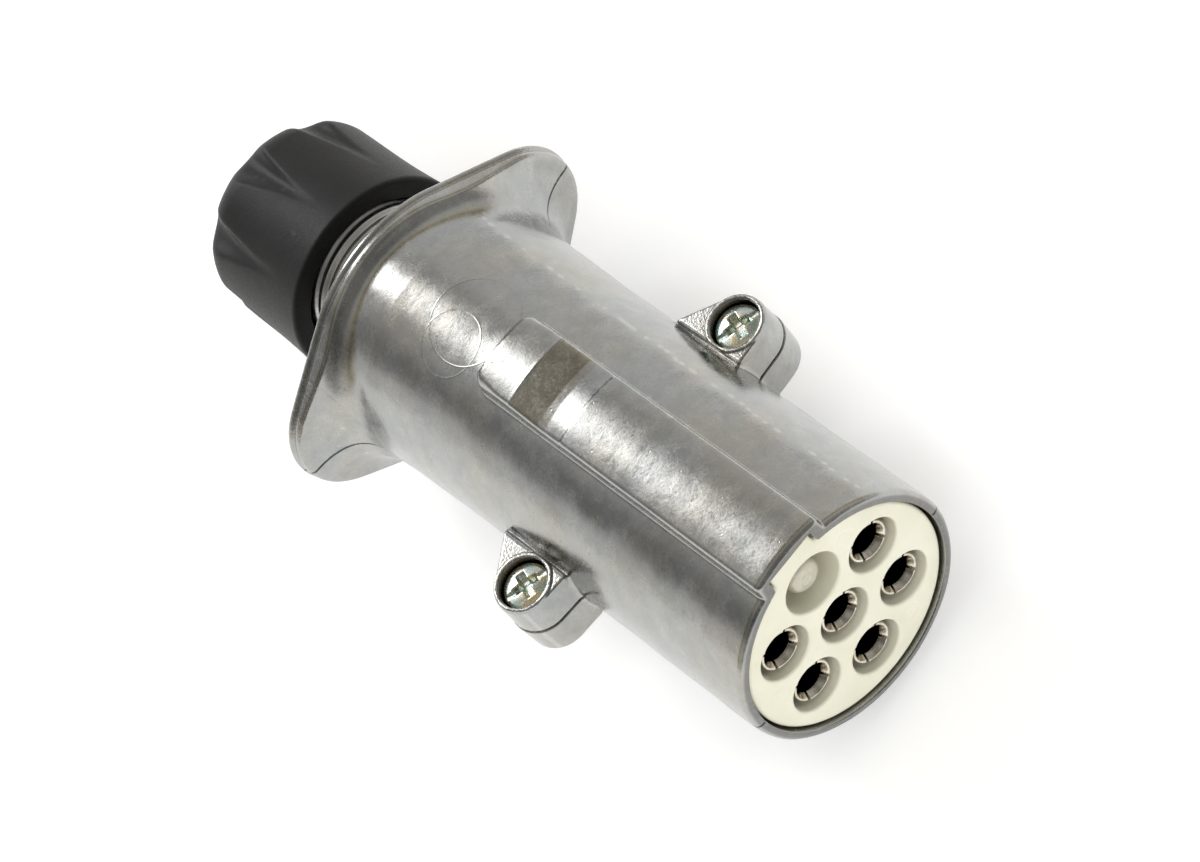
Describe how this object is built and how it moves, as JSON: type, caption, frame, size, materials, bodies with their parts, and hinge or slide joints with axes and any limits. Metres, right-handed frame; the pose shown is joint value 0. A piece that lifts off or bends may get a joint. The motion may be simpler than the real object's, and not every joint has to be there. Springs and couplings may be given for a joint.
{
  "type": "trailer wiring plug",
  "caption": "Round cast metal trailer wiring plug with a key rib, finger flange, screwed half shells, recessed contacts and a fluted cable gland nut.",
  "frame": {"origin": "centre of the bounding box in X and Y, at its lowest Z, with the key rib on top", "axes": "+Y along the barrel from the mating face to the cable end, +Z towards the key rib, +X to the right when the contacts are seen"},
  "size_m": [0.0664, 0.1422, 0.0494],
  "materials": {
    "cast": "tumbled die casting, satin to bright",
    "carrier": "smooth cream moulding",
    "nickel": "nickel-plated brass, turned",
    "zinc": "bright zinc plating",
    "black": "fine grain",
    "rubber": "matt"
  },
  "bodies": {
    "plug_shell": {"upper_shell": "cast", "lower_shell": "cast", "contact_carrier": "carrier", "socket_contact_1": "nickel", "socket_contact_2": "nickel", "socket_contact_3": "nickel", "socket_contact_4": "nickel", "socket_contact_5": "nickel", "socket_contact_6": "nickel", "pin_contact": "nickel", "cable_grommet": "rubber"},
    "thrust_washer": {"thrust_washer": "zinc"},
    "gland_nut": {"gland_nut": "black"},
    "lock_washer_right": {"lock_washer_right": "zinc"},
    "shell_screw_right": {"shell_screw_right": "zinc"},
    "lock_washer_left": {"lock_washer_left": "zinc"},
    "shell_screw_left": {"shell_screw_left": "zinc"},
    "terminal_screw_1": {"terminal_screw_1": "zinc"},
    "terminal_screw_2": {"terminal_screw_2": "zinc"},
    "terminal_screw_3": {"terminal_screw_3": "zinc"},
    "terminal_screw_4": {"terminal_screw_4": "zinc"},
    "terminal_screw_5": {"terminal_screw_5": "zinc"},
    "terminal_screw_6": {"terminal_screw_6": "zinc"},
    "terminal_screw_7": {"terminal_screw_7": "zinc"}
  },
  "joints": [
    {"name": "gland_travel", "type": "slide", "parent": "plug_shell", "child": "thrust_washer", "axis": [0, 1, 0], "range_m": [0, 0.01]},
    {"name": "gland_turn", "type": "hinge", "parent": "thrust_washer", "child": "gland_nut", "pos_m": [0, 0.0569, 0.0245], "axis": [0, 1, 0], "range_deg": [0, 1800]},
    {"name": "screw_travel_right", "type": "slide", "parent": "plug_shell", "child": "lock_washer_right", "axis": [0, 0, 1], "range_m": [0, 0.0063]},
    {"name": "screw_turn_right", "type": "hinge", "parent": "lock_washer_right", "child": "shell_screw_right", "pos_m": [0.026, -0.0244, 0.0245], "axis": [0, 0, 1], "range_deg": [0, 3240]},
    {"name": "screw_travel_left", "type": "slide", "parent": "plug_shell", "child": "lock_washer_left", "axis": [0, 0, 1], "range_m": [0, 0.0063]},
    {"name": "screw_turn_left", "type": "hinge", "parent": "lock_washer_left", "child": "shell_screw_left", "pos_m": [-0.026, -0.0244, 0.0245], "axis": [0, 0, 1], "range_deg": [0, 3240]},
    {"name": "clamp_turn_1", "type": "hinge", "parent": "plug_shell", "child": "terminal_screw_1", "pos_m": [0, -0.0301, 0.0245], "axis": [0.5, 0, 0.866], "range_deg": [0, 360]},
    {"name": "clamp_turn_2", "type": "hinge", "parent": "plug_shell", "child": "terminal_screw_2", "pos_m": [0.01039, -0.0301, 0.0305], "axis": [0.866, 0, 0.5], "range_deg": [0, 360]},
    {"name": "clamp_turn_3", "type": "hinge", "parent": "plug_shell", "child": "terminal_screw_3", "pos_m": [0.01039, -0.0301, 0.0185], "axis": [0.866, 0, -0.5], "range_deg": [0, 360]},
    {"name": "clamp_turn_4", "type": "hinge", "parent": "plug_shell", "child": "terminal_screw_4", "pos_m": [0, -0.0301, 0.0125], "axis": [0, 0, -1], "range_deg": [0, 360]},
    {"name": "clamp_turn_5", "type": "hinge", "parent": "plug_shell", "child": "terminal_screw_5", "pos_m": [-0.01039, -0.0301, 0.0185], "axis": [-0.866, 0, -0.5], "range_deg": [0, 360]},
    {"name": "clamp_turn_6", "type": "hinge", "parent": "plug_shell", "child": "terminal_screw_6", "pos_m": [-0.01039, -0.0301, 0.0305], "axis": [-0.866, 0, 0.5], "range_deg": [0, 360]},
    {"name": "clamp_turn_7", "type": "hinge", "parent": "plug_shell", "child": "terminal_screw_7", "pos_m": [0, -0.0301, 0.0365], "axis": [0, 0, 1], "range_deg": [0, 360]}
  ],
  "couplings": [
    {"joint": "gland_turn", "follows": "gland_travel", "rad_per_m": 3141.6},
    {"joint": "screw_turn_right", "follows": "screw_travel_right", "rad_per_m": 8975.9},
    {"joint": "screw_turn_left", "follows": "screw_travel_left", "rad_per_m": 8975.9}
  ]
}
